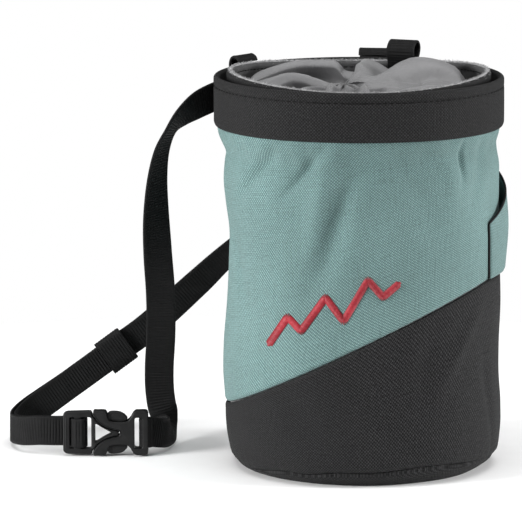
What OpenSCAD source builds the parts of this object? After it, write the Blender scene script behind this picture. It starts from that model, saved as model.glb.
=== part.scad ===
// Climbing chalk bag whose mouth twists shut, with the waist belt that it hangs from.
// Millimetres, +Z up. The bag stands on z = 0 with its axis on Z and its front towards -Y.
// The belt leaves the back of the rim and lies on the ground on the -X side.

/* [Bag] */
// Outside diameter of the cloth body
body_d = 138; // [136:0.5:139]
// Outside diameter of the stiffened rim band
rim_d = 145; // [145:0.5:146]
// Height of the rim's top edge above the ground
bag_h = 197; // [195:0.5:198]
// Height of the rim band
band_h = 24.5; // [22:0.5:26]
// Diameter of the seam between the body and the base
base_d = 132; // [128:1:134]
// Thickness of the outer cloth
cloth_t = 1.2; // [0.8:0.1:1.3]
// Thickness of the fleece lining
fleece_t = 2; // [1:0.1:2.4]

/* [Two-tone seam] */
// Height of the slanted seam on the bag's axis
seam_z = 64; // [56:1:68]
// Slope of the slanted seam, in degrees
seam_tilt = 26.3; // [20:0.1:28]
// Turn of the slope's high side away from +X, in degrees
seam_turn = -11; // [-20:1:10]

/* [Side pocket] */
// Direction of the pocket's front edge, in degrees from +X
pocket_from = -22; // [-30:1:-10]
// Width of the pocket round the bag, in degrees
pocket_span = 96; // [60:1:120]
// Height of the pocket's mouth where it faces +X
pocket_z = 139; // [130:1:145]
// Slope of the pocket's mouth, rising to the back, in degrees
pocket_tilt = 20; // [0:1:22]

/* [Twist ring] */
// Outside diameter of the ring's cloth casing
ring_d = 132; // [130:0.5:134]
// Thickness of the casing from its outside to its inside
ring_t = 3.7; // [3.4:0.1:3.8]
// Height of the casing
ring_h = 12; // [10:0.5:12]
// Direction of the pull loop when the mouth is shut, in degrees from +X
pull_at = 68; // [60:1:75]
// Height of the pull loop above the rim
pull_h = 10; // [9:0.5:12]

/* [Belt] */
// Width of the webbing
web_w = 15; // [14:0.1:15]
// Thickness of the webbing
web_t = 1.4; // [1:0.1:1.4]
// Directions of the two belt loops, in degrees from +X
loop_at = [141, 83];
// Length of the sliding keeper
keeper_l = 15; // [10:0.5:16]

/* [Buckle] */
// Length of the closed buckle
buckle_l = 44; // [44:0.1:44.5]
// Width of the closed buckle
buckle_w = 22.6; // [22.4:0.1:23]
// Thickness of the buckle's socket
buckle_t = 7.6; // [7.4:0.1:9]

/* [Hidden] */

// Smoothness of round shapes, and the clearance between pieces that touch
round_fn = 96;
gap = 0.15;

teal = "#8fb3b3";
charcoal = "#3b3b3e";
black = "#1d1d20";
satin = "#8f9094";
fleece = "#b9babd";
red = "#b8323c";

body_r = body_d / 2;
base_r = base_d / 2;
rim_r = rim_d / 2;
ring_r = ring_d / 2;
band_z = bag_h - band_h;

// Rim band: a strip folded over the hoop, so its section is a hook of this width and leg
fold_w = 4.3;
fold_leg_in = 19;
band_in_r = rim_r - fold_w;
tuck_r = rim_r - cloth_t - gap;
tuck_z = band_z + 9;

// Base: rounded up from the ground to the seam
base_round = 7;
board_t = 2;
board_r = base_r - 10;

// Places round the buckle's middle. Its x runs from the plug to the socket, its z across the belt
buckle_at = [-128, 15.5, 12];
end_x = buckle_l / 2;
half_w = buckle_w / 2;
wing_x = -6;
window_x = [0.5, 11.3];
waist_x = 12;
bar_x = 19.4;
socket_slot_x = 15;
bar_half = 1.9;
ladder_half = 1.2;
plug_t = 5;
slot_w = 16;
prong_tip = 6.8;
prong_root = -7.7;
prong_half = 6.8;
prong_wall = 2.1;
slide_gap = 0.3;
arm_root = -4.6;
arm_tip = 10.9;
arm_z = [6.9, 8.5];
arm_head = 10.1;
arm_t = 3.6;

// Belt: each station is the middle of the webbing and the direction across it
web_r = rim_r + 0.3 + web_t / 2;
back_from = 71;
back_to = 150;
socket_route = [
    [-63.8, 36.6, 184, 0, 0, 1], [-68, 29.4, 183.5, 0, 0, 1], [-74, 21, 182.2, -0.05, -0.05, 1],
    [-81, 14, 179.5, -0.2, -0.35, 1], [-88, 10, 174.6, -0.25, -0.8, 0.75],
    [-94, 9, 167.5, -0.25, -0.95, 0.3], [-98.5, 10.5, 157.5, -0.4, -0.9, 0.25],
    [-101, 14, 143, -0.6, -0.8, 0.15], [-101.8, 20, 124, -0.8, -0.55, 0],
    [-101.2, 29, 102, -0.95, -0.3, 0], [-100, 37, 80, -1, -0.1, 0], [-100, 45, 58, -1, 0, 0],
    [-101, 51, 40, -1, 0, 0], [-101, 54, 28, -1, 0, 0.07], [-99.8, 54.5, 18, -0.95, 0, 0.31],
    [-97.3, 52, 11.5, -0.74, 0, 0.67], [-95.5, 46, 8.6, -0.41, 0, 0.91], [-95.3, 38, 8.4, -0.14, 0, 1],
    [-96.5, 29, 9, 0, 0, 1], [-99.5, 21, 10.4, 0, 0, 1], [-103.8, 16.2, 11.8, 0, 0, 1]];
plug_route = [
    [-153.2, 18.7, 12, 0, 0, 1], [-162, 19.5, 12, 0, 0, 1], [-170, 24, 11, 0, 0, 1],
    [-175, 33, 10, 0, 0, 1], [-177, 45, 9.2, 0, 0, 1], [-175, 57, 9.7, -0.1, 0, 1],
    [-167, 66, 14, -0.3, 0, 1], [-150, 71, 25, -0.5, 0, 1], [-124, 76, 43, -0.55, 0, 1],
    [-100, 80.5, 63, -0.62, -0.1, 1], [-82, 84, 79, -0.7, -0.3, 1], [-64, 88, 93, -0.65, -0.7, 1],
    [-36, 92, 114, -0.6, -0.7, 1], [-6, 96, 137, -0.6, -0.3, 1], [20, 97, 157, -0.45, 0, 1],
    [39, 92, 171, -0.3, 0, 1], [49, 81, 180, -0.1, 0, 1], [47, 69, 183.5, 0, 0, 1],
    [39, 64, 184, 0, 0, 1], [31, 66.7, 184, 0, 0, 1], [24.1, 69.5, 184, 0, 0, 1]];
tail_route = [
    [-153.2, 20.5, 12, 0, 0, 1], [-161.6, 21.3, 12, 0, 0, 1], [-168.8, 25.4, 11, 0, 0, 1],
    [-173.2, 33.7, 10, 0, 0, 1], [-175, 44.9, 9.2, 0, 0, 1], [-172.8, 56, 9.7, -0.1, 0, 1],
    [-165.7, 63.9, 14, -0.3, 0, 1], [-149.5, 69, 25.3, -0.5, 0, 1], [-128, 73.4, 40.3, -0.55, 0, 1]];
keeper_at = [-124, 76, 43];
keeper_along = [26, 5, 18.5];
keeper_roll = -5;
keeper_wall = 1;

// Red stitched ridge line, seen from the front: across and up
ridge = [[-45, 69], [-35.5, 84.5], [-29, 78], [-17.5, 95.5], [-8.5, 84], [3.5, 104.5],
    [11, 96], [19.5, 103]];
ridge_w = 2.6;
stitch_t = 0.6;

// ---- Outlines and sweeps

function unit(v) = v / norm(v);

// Rounded line through the points, with the given number of steps between each pair
function smooth(p, steps) = [
    for (i = [0 : len(p) - 2], k = [0 : steps - 1])
        let (a = p[max(i - 1, 0)], b = p[i], c = p[i + 1], d = p[min(i + 2, len(p) - 1)], t = k / steps)
        b + t * (c - a) / 2 + t * t * (2 * a - 5 * b + 4 * c - d) / 2
            + t * t * t * (3 * b - a - 3 * c + d) / 2,
    p[len(p) - 1]];

// Direction to the left of a flat line at point i, longer at a corner so that a strip keeps its width
function side(p, i) =
    let (a = unit(p[max(i, 1)] - p[max(i, 1) - 1]),
        b = unit(p[min(i + 1, len(p) - 1)] - p[min(i + 1, len(p) - 1) - 1]),
        sum = [-a.y - b.y, a.x + b.x])
    sum / (1 + a * b);

// Outline of a strip that follows a flat line, from offset t0 to offset t1 on its left
function strip(p, t0, t1) = concat(
    [for (i = [0 : len(p) - 1]) p[i] + t0 * side(p, i)],
    [for (i = [len(p) - 1 : -1 : 0]) p[i] + t1 * side(p, i)]);

function arc(middle, r, from, to, steps) = [
    for (k = [0 : steps]) let (a = from + (to - from) * k / steps) middle + r * [cos(a), sin(a)]];

// Turned sheet of even thickness: the line runs from the axis outwards or from the ground up
module turned(line, t) rotate_extrude($fn = round_fn) polygon(strip(line, 0, t));

// Section of webbing with eased edges
web_section = let (a = web_w / 2, b = web_t / 2, e = 0.4)
    [[a, b - e], [a - e, b], [e - a, b], [-a, b - e], [-a, e - b], [e - a, -b], [a - e, -b], [a, e - b]];

function at(p, i) = [p[i].x, p[i].y, p[i].z];

// One ring of webbing corners at station i
function web_ring(p, i) =
    let (last = len(p) - 1, along = unit(at(p, min(i + 1, last)) - at(p, max(i - 1, 0))),
        lean = [p[i][3], p[i][4], p[i][5]], across = unit(lean - (lean * along) * along),
        face = cross(along, across))
    [for (c = web_section) at(p, i) + c.x * across + c.y * face];

module webbing(route) {
    p = smooth(route, 2);
    n = len(web_section);
    rings = len(p);
    polyhedron(
        points = [for (i = [0 : rings - 1], c = web_ring(p, i)) c],
        faces = concat(
            [[for (k = [0 : n - 1]) n - 1 - k]],
            [for (i = [0 : rings - 2], k = [0 : n - 1])
                let (a = i * n + k, b = i * n + (k + 1) % n)
                each [[a, b, b + n], [a, b + n, a + n]]],
            [[for (k = [0 : n - 1]) (rings - 1) * n + k]]));
}

// Everything under the slanted seam, less the given drop
module below_seam(drop = 0)
    translate([0, 0, seam_z - drop]) rotate([0, -seam_tilt, seam_turn])
        translate([-150, -150, -300]) cube([300, 300, 300]);

// Everything under the pocket's sloping mouth, less the given drop
module below_pocket_mouth(drop = 0)
    translate([0, 0, pocket_z - drop]) rotate([pocket_tilt, 0, 0])
        translate([-150, -150, -300]) cube([300, 300, 300]);

// ---- Bag

module shell_wall()
    turned(smooth([[base_r, base_round + gap], [base_r + 2, 20], [body_r, 46], [body_r, 80],
        [body_r, 148], [body_r - 1, 160], [body_r - 0.8, 165], [tuck_r - 0.6, band_z + 1],
        [tuck_r - 0.15, band_z + 5], [tuck_r - 0.15, tuck_z]], 3), cloth_t);

module upper_shell() color(teal) difference() {
    shell_wall();
    below_seam();
}

module lower_shell() color(charcoal) intersection() {
    shell_wall();
    below_seam(gap);
}

module base_panel() color(charcoal)
    turned(concat([[0, 0], [20, 0]],
        arc([base_r - base_round, base_round], base_round, -90, 0, 6)), cloth_t);

module base_stiffener() color(black)
    translate([0, 0, cloth_t + gap]) cylinder(h = board_t, r = board_r, $fn = round_fn);

module fleece_liner() color(fleece) {
    floor_z = cloth_t + board_t + 2 * gap;
    wall_r = body_r - cloth_t - 2 * gap;
    turned(concat([[0, floor_z], [30, floor_z]],
        smooth([[base_r - 10, floor_z], [base_r - 5.5, floor_z + 1.4], [base_r - 2.8, 9.5],
            [base_r - 1, 18], [wall_r, 46], [wall_r, 80], [wall_r, 146], [wall_r - 1.1, 160],
            [wall_r - 1.1, band_z + 3]], 2)), fleece_t);
}

module rim_band() color(charcoal) rotate_extrude($fn = round_fn) {
    top_z = bag_h - fold_w / 2;
    translate([rim_r - cloth_t, band_z]) square([cloth_t, top_z - band_z]);
    translate([band_in_r, bag_h - fold_leg_in]) square([cloth_t, top_z - bag_h + fold_leg_in]);
    translate([rim_r - fold_w / 2, top_z]) intersection() {
        difference() {
            circle(r = fold_w / 2, $fn = 32);
            circle(r = fold_w / 2 - cloth_t, $fn = 32);
        }
        translate([-fold_w, 0]) square([2 * fold_w, fold_w]);
    }
}

module rim_stiffener() color(black) {
    hoop_in = band_in_r + cloth_t + gap;
    hoop_out = rim_r - cloth_t - gap;
    translate([0, 0, tuck_z + gap]) difference() {
        cylinder(h = bag_h - fold_w / 2 - tuck_z - 2 * gap, r = hoop_out, $fn = round_fn);
        translate([0, 0, -1]) cylinder(h = band_h, r = hoop_in, $fn = round_fn);
    }
}

module side_sector(r0, r1, z0, z1)
    rotate([0, 0, pocket_from]) rotate_extrude(angle = pocket_span, $fn = round_fn)
        translate([r0, z0]) square([r1 - r0, z1 - z0]);

module side_pocket() color(teal) intersection() {
    difference() {
        side_sector(body_r + gap, body_r + gap + cloth_t, 60, bag_h);
        below_seam(-1);
    }
    below_pocket_mouth(3 + gap);
}

module pocket_binding() color(black) intersection() {
    difference() {
        side_sector(body_r + gap, body_r + gap + 2, 90, bag_h);
        below_pocket_mouth(3);
    }
    below_pocket_mouth();
}

module embroidered_motif() color(red) intersection() {
    difference() {
        cylinder(h = 120, r = body_r + gap + stitch_t, $fn = round_fn);
        translate([0, 0, -1]) cylinder(h = 122, r = body_r + gap, $fn = round_fn);
    }
    rotate([90, 0, 0]) linear_extrude(100) polygon(strip(ridge, -ridge_w / 2, ridge_w / 2));
}

// ---- Mouth

module closure_lower() color(satin)
    turned(concat([[0, 185]], smooth([[12, 185], [40, 183.5], [58, 181], [64, 179],
        [band_in_r - 1.2, 177]], 3)), -1);

module closure_upper() color(satin)
    turned(concat([[0, 189]], smooth([[10, 189], [26, 194], [42, 196.2], [54, 193.5],
        [ring_r - ring_t - web_t - 3 * gap, 188]], 3)), -1);

module ring_section(inset) {
    corner = 1.8 - inset / 2;
    w = ring_t - 2 * inset;
    h = ring_h - 2 * inset;
    translate([ring_r - ring_t + inset, bag_h - ring_h + inset]) {
        for (z = [corner, h - corner]) translate([w / 2, z]) intersection() {
            circle(r = w / 2, $fn = 32);
            translate([-w, z < h / 2 ? -w : 0]) square([2 * w, w]);
        }
        translate([0, corner]) square([w, h - 2 * corner]);
    }
}

module twist_ring_core() color(black)
    translate([0, 0, bag_h - ring_h + 2]) difference() {
        cylinder(h = ring_h - 4, r = ring_r - 0.9, $fn = round_fn);
        translate([0, 0, -1]) cylinder(h = ring_h, r = ring_r - ring_t + 0.9, $fn = round_fn);
    }

module twist_ring_casing() color(fleece) rotate_extrude($fn = round_fn) difference() {
    ring_section(0);
    translate([ring_r - ring_t + 0.75, bag_h - ring_h + 1.85]) square([ring_t - 1.5, ring_h - 3.7]);
}

// Flat strip of webbing bent in the upright plane that points away from the bag's axis
module upright_strip(at_angle, line) color(black)
    rotate([90, 0, at_angle]) translate([0, 0, -web_w / 2])
        linear_extrude(web_w) polygon(strip(smooth(line, 3), -web_t / 2, web_t / 2));

module pull_loop() {
    // The strip is flat, so its edges come nearest to the round casing
    in_r = sqrt(pow(ring_r - ring_t, 2) - pow(web_w / 2, 2)) - 2 * gap - web_t / 2;
    top = bag_h + pull_h - web_t / 2;
    upright_strip(pull_at, [[in_r, 190], [in_r, 196], [in_r - 1.4, bag_h + 3.2],
        [in_r - 0.9, top - 2.6], [in_r + 2.3, top], [in_r + 5.9, top - 0.2], [in_r + 7.8, top - 3],
        [in_r + 6.9, bag_h + 3], [in_r + 4.3, bag_h + gap + 0.2]]);
}

// Loop sewn to the top and the bottom of the band; the belt passes between it and the band
module belt_loop(k) {
    r = rim_r + web_t / 2;
    upright_strip(loop_at[k], [[r - 2, bag_h + web_t / 2 + 0.1], [r - 1, bag_h + 2.6],
        [r + 1.6, bag_h + 3.6], [r + 3.8, bag_h + 1.6], [r + 4.3, bag_h - 4], [r + 4.3, band_z + 8],
        [r + 3.2, band_z + 2.5], [r + gap, band_z - 1.4], [r - 1.4, band_z - 4.4]]);
}

module belt_loop_left() belt_loop(0);

module belt_loop_right() belt_loop(1);

// ---- Belt

module belt_back_run() color(black)
    translate([0, 0, 184 - web_w / 2]) rotate([0, 0, back_from])
        rotate_extrude(angle = back_to - back_from, $fn = round_fn)
            translate([web_r - web_t / 2, 0]) square([web_t, web_w]);

module belt_socket_half() color(black) webbing(socket_route);

module belt_plug_half() color(black) webbing(plug_route);

module belt_tail() color(black) webbing(tail_route);

module across_belt(line) color(black)
    translate(buckle_at - [0, 0, web_w / 2])
        linear_extrude(web_w) polygon(strip(smooth(line, 3), -web_t / 2, web_t / 2));

module socket_strap_wrap()
    across_belt([[24.2, -0.9], [22.4, -2.7], [19.6, -2.8], [18.1, -1.7], [18, 0], [18.1, 1.7],
        [19.6, 2.8], [22.4, 2.7], [24.2, 0.9]]);

module plug_strap_wrap()
    across_belt([[-25, 3.2], [-20, 3.4], [-18, 3.2], [-17.1, 1.7], [-16.9, -1], [-15.6, -2.9],
        [-13.6, -3.1], [-11.4, -2.9], [-9.9, -1], [-9.7, 1.6], [-10.9, 4.2], [-13.6, 5.1],
        [-20, 5.2], [-25, 5]]);

module strap_keeper() color(black) {
    along = unit(keeper_along);
    inside = [keeper_l + 2, 2 * web_t + 1.9, web_w + 1.5];
    translate(keeper_at - 0.9 * [-0.19, 0.98, 0.05])
        rotate([keeper_roll, -asin(along.z), atan2(along.y, along.x)]) difference() {
            cube([keeper_l, inside.y + 2 * keeper_wall, inside.z + 2 * keeper_wall], center = true);
            cube(inside, center = true);
        }
}

// ---- Buckle, drawn flat with its width along y, then stood on edge

module stand_at_buckle() translate(buckle_at) rotate([90, 0, 0]) children();

module plate(t) translate([0, 0, -t / 2]) linear_extrude(t) children();

module mirrored() {
    children();
    mirror([0, 1]) children();
}

module prong_outline(grow) polygon([[prong_root - 1, prong_half + grow], [prong_root, prong_half + grow],
    [prong_tip - 2, 1.6 + grow], [prong_tip + grow, 0], [prong_tip - 2, -1.6 - grow],
    [prong_root, -prong_half - grow], [prong_root - 1, -prong_half - grow]]);

module socket_outline() {
    mirrored() polygon([[wing_x, 0], [wing_x, half_w - 2], [wing_x + 1.6, half_w],
        [window_x[0], half_w], [window_x[0] + 1.6, 7.4], [window_x[1] - 2, 6.2], [waist_x, half_w - 2.6],
        [socket_slot_x - 0.6, half_w], [end_x - 1.5, half_w], [end_x, half_w - 1.5], [end_x, 0]]);
}

module buckle_socket() color(black) stand_at_buckle() difference() {
    union() {
        plate(buckle_t) intersection() {
            socket_outline();
            translate([wing_x, -half_w]) square([waist_x - wing_x + 1.4, buckle_w]);
        }
        plate(4.4) intersection() {
            socket_outline();
            translate([waist_x, -half_w]) square([end_x - waist_x, buckle_w]);
        }
    }
    plate(arm_t + 1) translate([wing_x - 1, -arm_head - gap])
        square([window_x[1] - wing_x + 1, 2 * (arm_head + gap)]);
    plate(buckle_t + 2) prong_outline(slide_gap);
    plate(buckle_t + 2) translate([socket_slot_x, -slot_w / 2]) square([bar_x - socket_slot_x, slot_w]);
    for (z = [bar_half, -bar_half - 4]) translate([bar_x - 1, -slot_w / 2, z]) cube([5, slot_w, 4]);
}

module buckle_plug() color(black) stand_at_buckle() {
    frame_to = wing_x - slide_gap;
    difference() {
        plate(plug_t) difference() {
            mirrored() polygon([[-end_x, 0], [-end_x, half_w - 2.4], [2.4 - end_x, half_w - 0.4],
                [frame_to - 2, half_w - 0.4], [frame_to, half_w - 1.4], [frame_to, 0]]);
            translate([-18.8, -slot_w / 2]) square([3.4, slot_w]);
            translate([-12.2, -slot_w / 2]) square([4.4, slot_w]);
        }
        for (z = [ladder_half, -ladder_half - 4]) translate([-15.6, -slot_w / 2, z])
            cube([3.6, slot_w, 4]);
    }
    plate(arm_t) mirrored() translate([frame_to - 1, arm_z[0] - 0.6])
        square([arm_root - gap - frame_to + 1, arm_z[1] - arm_z[0] + 1.2]);
    plate(buckle_t - 1) difference() {
        prong_outline(0);
        polygon([[prong_root + prong_wall, prong_half - 2.2], [prong_tip - 3.8, 0],
            [prong_root + prong_wall, 2.2 - prong_half]]);
    }
}

module latch_arm() color(black) stand_at_buckle() plate(arm_t)
    polygon([[arm_root, arm_z[0]], [1, arm_z[0] - 0.3], [2.4, arm_z[0] - 0.9], [arm_tip - 2, 5.6],
        [arm_tip, 6.4], [arm_tip - 0.4, 7.6], [7, arm_head - 0.6], [4, arm_head], [2, arm_head],
        [1.2, arm_z[1] + 0.3], [arm_root, arm_z[1]]]);

module latch_arm_upper() latch_arm();

module latch_arm_lower() translate([0, 0, 2 * buckle_at.z]) mirror([0, 0, 1]) latch_arm();

upper_shell();
lower_shell();
base_panel();
base_stiffener();
fleece_liner();
rim_band();
rim_stiffener();
side_pocket();
pocket_binding();
embroidered_motif();
closure_lower();
closure_upper();
twist_ring_core();
twist_ring_casing();
pull_loop();
belt_loop_left();
belt_loop_right();
belt_back_run();
belt_socket_half();
belt_plug_half();
belt_tail();
socket_strap_wrap();
plug_strap_wrap();
strap_keeper();
buckle_socket();
buckle_plug();
latch_arm_upper();
latch_arm_lower();
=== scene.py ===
import math

import bmesh
import bpy
import numpy as np
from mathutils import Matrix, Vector


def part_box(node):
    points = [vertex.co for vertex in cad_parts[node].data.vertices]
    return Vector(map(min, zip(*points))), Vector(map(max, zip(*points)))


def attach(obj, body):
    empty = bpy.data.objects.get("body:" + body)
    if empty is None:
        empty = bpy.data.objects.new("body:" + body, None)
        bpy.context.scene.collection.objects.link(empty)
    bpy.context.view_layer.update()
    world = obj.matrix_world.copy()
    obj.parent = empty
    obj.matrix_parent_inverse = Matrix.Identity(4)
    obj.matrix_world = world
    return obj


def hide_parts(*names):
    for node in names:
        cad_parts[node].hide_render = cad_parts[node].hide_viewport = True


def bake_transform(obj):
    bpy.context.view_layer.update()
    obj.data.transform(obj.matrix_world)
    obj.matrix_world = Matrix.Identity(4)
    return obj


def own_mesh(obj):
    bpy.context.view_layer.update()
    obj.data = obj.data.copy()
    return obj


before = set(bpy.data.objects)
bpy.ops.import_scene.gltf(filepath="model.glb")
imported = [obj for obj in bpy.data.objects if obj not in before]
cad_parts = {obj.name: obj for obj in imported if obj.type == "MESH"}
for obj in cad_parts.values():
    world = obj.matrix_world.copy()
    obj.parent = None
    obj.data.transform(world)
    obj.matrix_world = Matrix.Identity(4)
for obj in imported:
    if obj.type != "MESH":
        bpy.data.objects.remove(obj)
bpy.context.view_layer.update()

# Shapes are worked out in millimetres, with +Z up and the bag's front towards -Y, and are turned
# into metres where a mesh is made. Angles round the bag are in degrees from +X unless they are
# front angles, which start at -Y and grow towards +X.
MM = 0.001


def top_of(node):
    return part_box(node)[1] / MM


def bottom_of(node):
    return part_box(node)[0] / MM


rim_r = top_of("rim_band").x
rim_top = top_of("rim_band").z
band_bottom = bottom_of("rim_band").z
ring_r = top_of("twist_ring_casing").x
ring_bottom = bottom_of("twist_ring_casing").z
body_r = top_of("fleece_liner").x + 1.5
web_w = 15.0
web_t = 1.4
BUCKLE = np.array([-128.0, 15.5, 12.0])
# Distance from rib to rib along the webbing, and the depth between two ribs
RIB_PITCH = 1.5
RIB_DEPTH = 0.28


# ---------------------------------------------------------------- camera, floor and lights

# What the camera looks at (mm), how many degrees above level it is, and how far off (m)
CAMERA_TARGET = (-48.75, 0, 102.7)
CAMERA_ANGLE = 9.5
CAMERA_AWAY = 2.5
CAMERA_LENS = 343.6
# The white world's strength as the camera sees it, and as it lights the object
WORLD_SEEN = 1.0
WORLD_LIGHT = 0.1
# The floor is a disc, in metres
FLOOR_RADIUS = 0.42
FLOOR_X = -0.04


def make_camera():
    target = Vector(CAMERA_TARGET) * MM
    height = math.radians(CAMERA_ANGLE)
    data = bpy.data.cameras.new("camera")
    data.sensor_width = 36
    data.lens = CAMERA_LENS
    camera = bpy.data.objects.new("camera", data)
    camera.location = target + CAMERA_AWAY * Vector((0, -math.cos(height), math.sin(height)))
    camera.rotation_euler = (target - camera.location).to_track_quat("-Z", "Y").to_euler()
    bpy.context.scene.collection.objects.link(camera)
    bpy.context.scene.camera = camera


def area_light(name, place, aim, size, watts):
    data = bpy.data.lights.new(name, "AREA")
    data.shape = "RECTANGLE"
    data.size = size[0]
    data.size_y = size[1]
    data.energy = watts
    light = bpy.data.objects.new(name, data)
    light.location = place
    light.rotation_euler = (Vector(aim) - Vector(place)).to_track_quat("-Z", "Y").to_euler()
    bpy.context.scene.collection.objects.link(light)


def make_lights():
    world = bpy.data.worlds.new("studio")
    world.use_nodes = True
    tree = world.node_tree
    background = tree.nodes["Background"]
    background.inputs["Color"].default_value = (1, 1, 1, 1)
    seen = tree.nodes.new("ShaderNodeLightPath").outputs["Is Camera Ray"]
    strength = tree.nodes.new("ShaderNodeMapRange")
    strength.inputs["To Min"].default_value = WORLD_LIGHT
    strength.inputs["To Max"].default_value = WORLD_SEEN
    tree.links.new(seen, strength.inputs["Value"])
    tree.links.new(strength.outputs["Result"], background.inputs["Strength"])
    bpy.context.scene.world = world
    bpy.context.scene.view_settings.view_transform = "Standard"
    aim = (0, 0, 0.1)
    area_light("key_left", (-1.0, -0.45, 0.3), aim, (0.35, 0.5), 20)
    area_light("fill_right", (1.0, -0.2, 0.3), aim, (0.3, 0.5), 16)
    area_light("top_soft", (0.0, -0.15, 1.5), aim, (1.5, 1.5), 23)


# ---------------------------------------------------------------- materials

class Paint:
    """A Principled material whose nodes are added one by one."""

    def __init__(self, name, **constants):
        self.material = bpy.data.materials.new(name)
        self.material.use_nodes = True
        self.tree = self.material.node_tree
        self.shader = self.tree.nodes["Principled BSDF"]
        sockets = {socket.name.lower().replace(" ", "_"): socket for socket in self.shader.inputs}
        for socket, value in constants.items():
            sockets[socket].default_value = value

    def node(self, kind, inputs=(), **settings):
        made = self.tree.nodes.new(kind)
        for key, value in settings.items():
            setattr(made, key, value)
        for key, value in dict(inputs).items():
            if isinstance(value, bpy.types.NodeSocket):
                self.tree.links.new(value, made.inputs[key])
            else:
                made.inputs[key].default_value = value
        return made

    def math(self, operation, first, second=0.0):
        return self.node("ShaderNodeMath", {0: first, 1: second}, operation=operation).outputs[0]

    def cloth_xy(self):
        """The two lengths along the cloth, in metres, from the mesh's own map."""
        where = self.node("ShaderNodeUVMap", uv_map="cloth").outputs["UV"]
        split = self.node("ShaderNodeSeparateXYZ", {0: where})
        return where, split.outputs["X"], split.outputs["Y"]

    def place(self):
        """Where a point is on its piece, in metres, for what has no map of its own."""
        return self.node("ShaderNodeTexCoord").outputs["Object"]

    def noise(self, where, scale, detail=2.0, roughness=0.5, stretch=(1, 1, 1)):
        moved = self.node("ShaderNodeMapping", {"Vector": where, "Scale": stretch}).outputs[0]
        made = self.node(
            "ShaderNodeTexNoise",
            {"Vector": moved, "Scale": scale, "Detail": detail, "Roughness": roughness})
        return made.outputs["Fac"]

    def between(self, value, low, high):
        made = self.node("ShaderNodeMapRange", {0: value, 3: low, 4: high})
        return made.outputs[0]

    def ramp(self, value, stops):
        made = self.node("ShaderNodeValToRGB", {0: value})
        band = made.color_ramp
        while len(band.elements) < len(stops):
            band.elements.new(0.5)
        for element, (place, colour) in zip(band.elements, stops):
            element.position = place
            element.color = (*colour, 1)
        return made.outputs["Color"]

    def mix(self, share, first, second, blend_type="MIX"):
        made = self.node(
            "ShaderNodeMix", {"Factor": share}, data_type="RGBA", blend_type=blend_type)
        for socket, value in ((made.inputs[6], first), (made.inputs[7], second)):
            if isinstance(value, bpy.types.NodeSocket):
                self.tree.links.new(value, socket)
            else:
                socket.default_value = (*value, 1)
        return made.outputs[2]

    def bump(self, height, distance, strength=1.0, before=None):
        inputs = {"Height": height, "Distance": distance, "Strength": strength}
        if before is not None:
            inputs["Normal"] = before
        return self.node("ShaderNodeBump", inputs).outputs["Normal"]

    def finish(self, colour=None, roughness=None, normal=None):
        for socket, value in (
                ("Base Color", colour), ("Roughness", roughness), ("Normal", normal)):
            if value is not None:
                self.tree.links.new(value, self.shader.inputs[socket])
        return self.material


def plain_weave(paint, u, v, pitch):
    """Height of a plain weave, and which of its two threads is on top: 1 for one, 0 for the other."""
    across = paint.math("SINE", paint.math("MULTIPLY", u, math.pi / pitch))
    along = paint.math("SINE", paint.math("MULTIPLY", v, math.pi / pitch))
    product = paint.math("MULTIPLY", across, along)
    height = paint.math("POWER", paint.math("ABSOLUTE", product), 0.5)
    on_top = paint.math("GREATER_THAN", product, 0.0)
    return height, on_top


def canvas(name, warp, weft, pitch, slub, fleck, roughness, **constants):
    """Woven cloth: two thread colours, thick and thin yarns both ways, slow changes of tone, and
    painted shade in the low parts of the weave.
    """
    paint = Paint(name, **constants)
    where, u, v = paint.cloth_xy()
    height, on_top = plain_weave(paint, u, v, pitch)
    rows = paint.noise(where, 1.0, 3, 0.6, (60, 1500, 1))
    columns = paint.noise(where, 1.0, 3, 0.6, (1500, 60, 1))
    clouds = paint.noise(where, 26.0, 3, 0.55)
    base = paint.mix(on_top, weft, warp)
    streaks = paint.math("ADD", rows, columns)
    light = paint.between(streaks, 1 - slub, 1 + slub)
    light = paint.math("MULTIPLY", light, paint.between(clouds, 0.82, 1.18))
    flecks = paint.noise(where, 950.0, 1, 0.5)
    light = paint.math("MULTIPLY", light, paint.between(flecks, 1 - fleck, 1 + fleck))
    # Painted shade: the low parts of the weave, between the threads, are darkened in the colour.
    light = paint.math("MULTIPLY", light, paint.between(height, 0.72, 1.1))
    grey = paint.node("ShaderNodeCombineColor", {0: light, 1: light, 2: light}).outputs[0]
    colour = paint.mix(1.0, base, grey, "MULTIPLY")
    normal = paint.bump(height, 0.0002)
    normal = paint.bump(streaks, 0.00018, 1.0, normal)
    rough = paint.between(rows, roughness - 0.06, roughness + 0.06)
    return paint.finish(colour, rough, normal)


def teal_canvas():
    return canvas("teal_canvas", (0.100, 0.158, 0.154), (0.036, 0.073, 0.071), 0.00076, 0.8, 0.35, 0.78,
                  sheen_weight=0.12, sheen_roughness=0.45, specular_ior_level=0.3)


def charcoal_canvas():
    return canvas("charcoal_canvas", (0.018, 0.018, 0.0184), (0.005, 0.005, 0.0052), 0.0008,
                  0.6, 0.85, 0.75, sheen_weight=0.03, sheen_roughness=0.4, specular_ior_level=0.08)


def band_cloth():
    return canvas("band_cloth", (0.0165, 0.0165, 0.0168), (0.005, 0.005, 0.0052), 0.0008, 0.5, 0.9,
                  0.7, sheen_weight=0.022, sheen_roughness=0.4, specular_ior_level=0.1)


def grey_nylon():
    paint = Paint("grey_nylon", sheen_weight=0.15, sheen_roughness=0.35,
                  specular_ior_level=0.5, anisotropic=0.35)
    where, u, v = paint.cloth_xy()
    height, _ = plain_weave(paint, u, v, 0.00035)
    crush = paint.noise(where, 70.0, 4, 0.6)
    clouds = paint.noise(where, 22.0, 2, 0.5)
    colour = paint.ramp(clouds, [(0.25, (0.135, 0.135, 0.138)), (0.75, (0.185, 0.185, 0.189))])
    normal = paint.bump(height, 0.00004)
    normal = paint.bump(crush, 0.0016, 0.5, normal)
    return paint.finish(colour, paint.between(crush, 0.44, 0.6), normal)


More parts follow.
